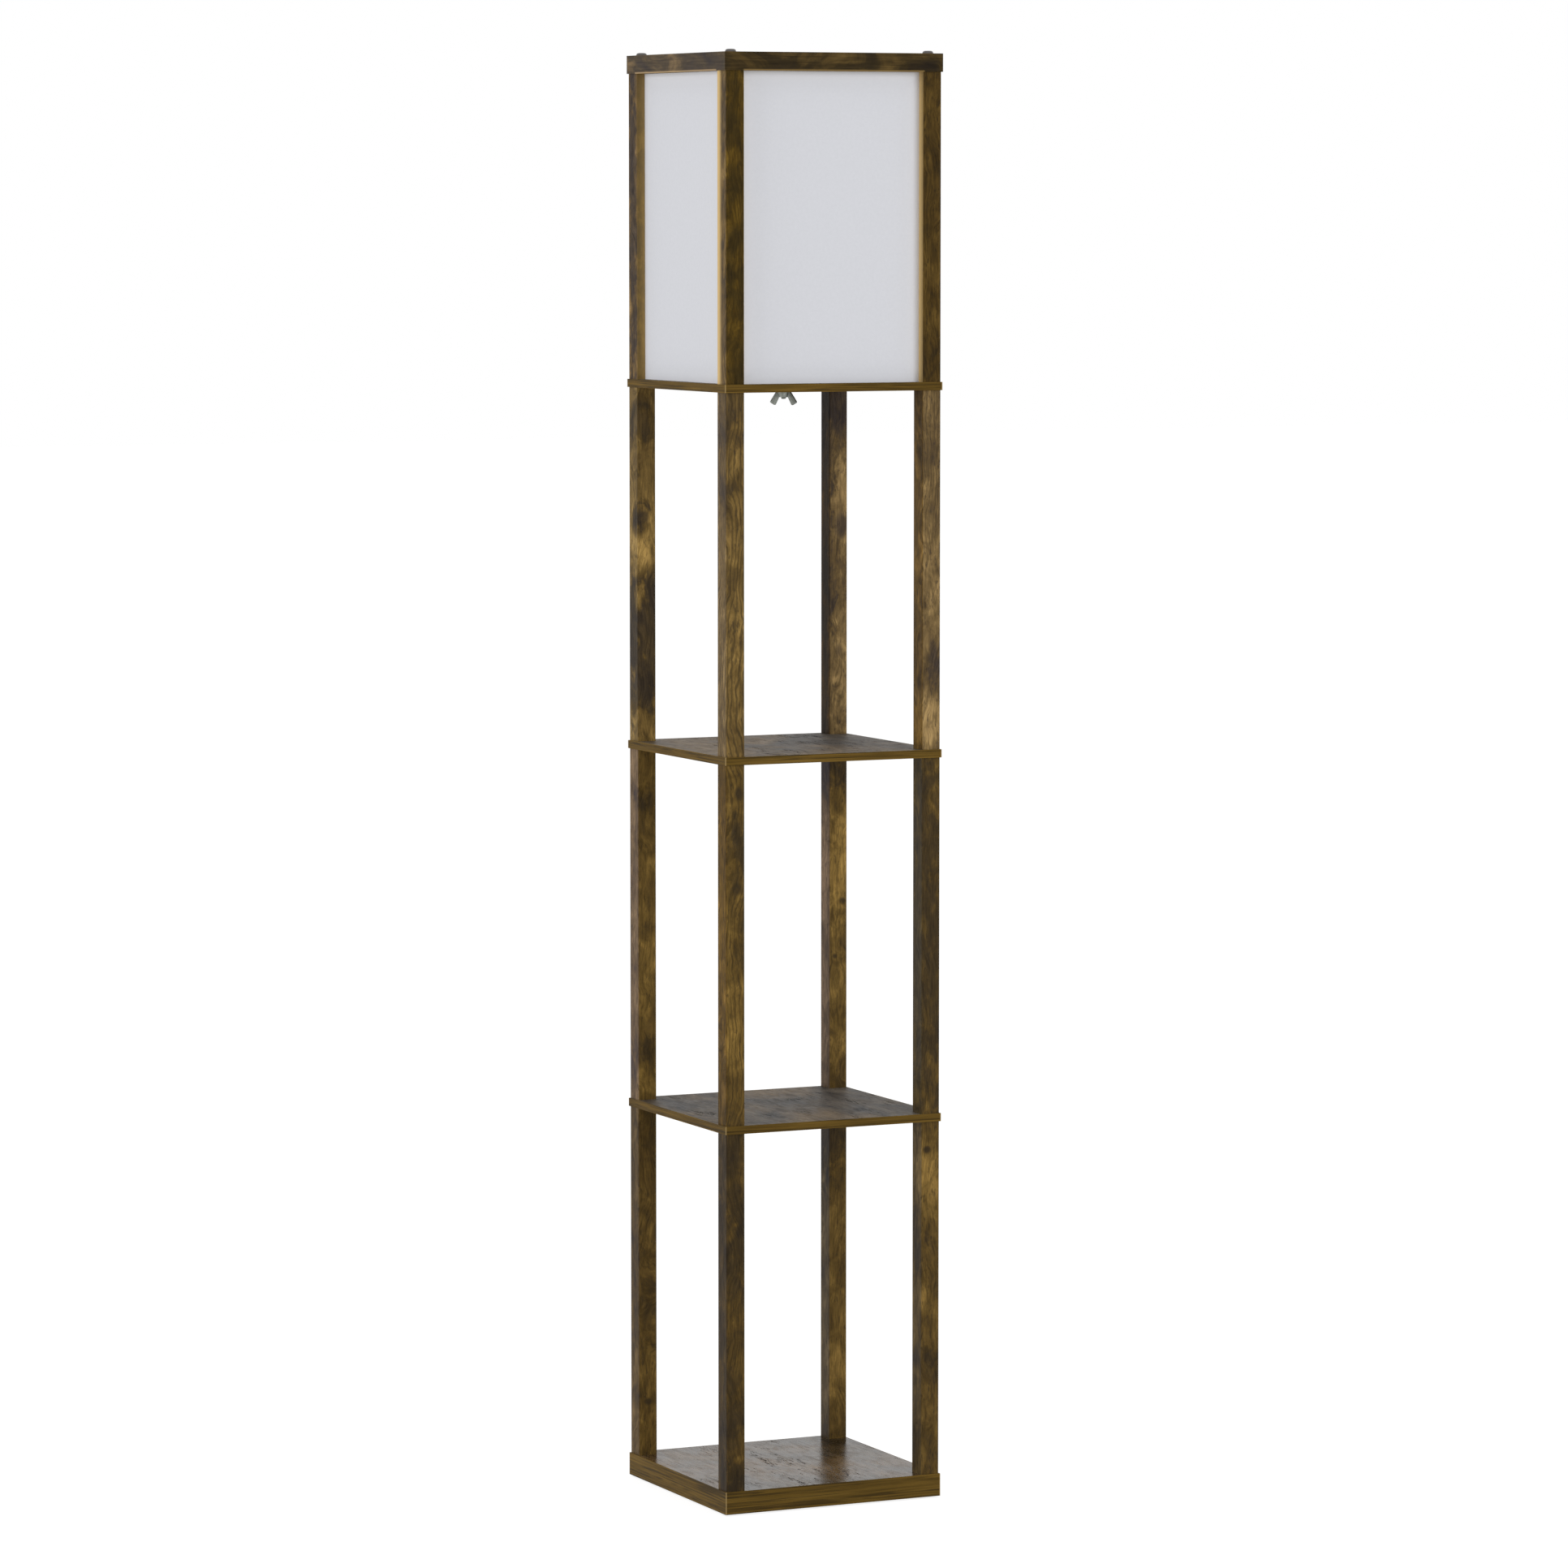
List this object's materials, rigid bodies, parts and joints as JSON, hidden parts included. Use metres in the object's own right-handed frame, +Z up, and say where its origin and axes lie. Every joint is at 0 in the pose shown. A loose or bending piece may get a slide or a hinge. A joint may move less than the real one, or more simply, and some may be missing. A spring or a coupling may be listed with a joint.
{
  "type": "shelf floor lamp",
  "caption": "Tall square floor lamp with open shelves between slim posts and a light box of white shade panels on top.",
  "frame": {"origin": "on the floor, under the centre of the square base", "axes": "+Z up, -Y the front, +X the right-hand side seen from the front"},
  "size_m": [0.262, 0.262, 1.6],
  "materials": {
    "eva_foam": "matte",
    "board_foil": "satin",
    "edge_foil": "satin",
    "post_foil": "satin",
    "rail_foil": "satin",
    "shade_sheet": "matte",
    "rubber_black": "matte",
    "brass": "satin",
    "zinc_steel": "satin",
    "holder_plastic": "satin",
    "porcelain": "satin",
    "bulb_metal": "satin",
    "bulb_black": "gloss",
    "bulb_housing_white": "satin",
    "bulb_opal": "satin"
  },
  "bodies": {
    "tower": {"foot_pads": "eva_foam", "base_board": "board_foil", "lower_shelf": "board_foil", "upper_shelf": "board_foil", "light_box_floor": "board_foil", "base_edge_band": "edge_foil", "lower_shelf_edge_band": "edge_foil", "upper_shelf_edge_band": "edge_foil", "light_box_floor_edge_band": "edge_foil", "lower_post_front_left": "post_foil", "lower_post_front_right": "post_foil", "lower_post_back_left": "post_foil", "lower_post_back_right": "post_foil", "middle_post_front_left": "post_foil", "middle_post_front_right": "post_foil", "middle_post_back_left": "post_foil", "middle_post_back_right": "post_foil", "upper_post_front_left": "post_foil", "upper_post_front_right": "post_foil", "upper_post_back_left": "post_foil", "upper_post_back_right": "post_foil", "light_box_post_front_left": "post_foil", "light_box_post_front_right": "post_foil", "light_box_post_back_left": "post_foil", "light_box_post_back_right": "post_foil", "top_rail_front": "rail_foil", "shade_panel_front": "shade_sheet", "top_rail_right": "rail_foil", "shade_panel_right": "shade_sheet", "top_rail_back": "rail_foil", "shade_panel_back": "shade_sheet", "top_rail_left": "rail_foil", "shade_panel_left": "shade_sheet", "cord_grommet": "rubber_black", "threaded_inserts": "brass", "screw_sleeve": "brass", "contact_tongue": "brass", "tier_studs": "zinc_steel", "base_screws": "zinc_steel", "terminal_screws": "zinc_steel", "stirrup_side_screws": "zinc_steel", "holder_stirrup": "zinc_steel", "holder_screw": "zinc_steel", "top_screws": "zinc_steel", "holder_cap": "holder_plastic", "holder_skirt": "holder_plastic", "terminal_block": "porcelain"},
    "bulb_foot": {"bulb_contact": "bulb_metal"},
    "bulb": {"bulb_insulator": "bulb_black", "bulb_screw_base": "bulb_metal", "bulb_housing": "bulb_housing_white", "bulb_dome": "bulb_opal"},
    "washer": {"wing_nut_washer": "zinc_steel"},
    "wing_nut": {"wing_nut": "zinc_steel"}
  },
  "joints": [
    {"name": "bulb_rise", "type": "slide", "parent": "tower", "child": "bulb_foot", "axis": [0, 0, 1], "range_m": [0, 0.01815]},
    {"name": "bulb_turn", "type": "hinge", "parent": "bulb_foot", "child": "bulb", "pos_m": [0, 0, 1.3], "axis": [0, 0, 1], "range_deg": [0, 1800]},
    {"name": "washer_drop", "type": "slide", "parent": "tower", "child": "washer", "axis": [0, 0, -1], "range_m": [0, 0.009]},
    {"name": "wing_nut_turn", "type": "hinge", "parent": "washer", "child": "wing_nut", "pos_m": [0, 0, 1.224], "axis": [0, 0, -1], "range_deg": [0, 3240]}
  ],
  "couplings": [
    {"joint": "bulb_rise", "follows": "bulb_turn", "m_per_rad": 0.00057757},
    {"joint": "washer_drop", "follows": "wing_nut_turn", "m_per_rad": 0.00015915}
  ]
}
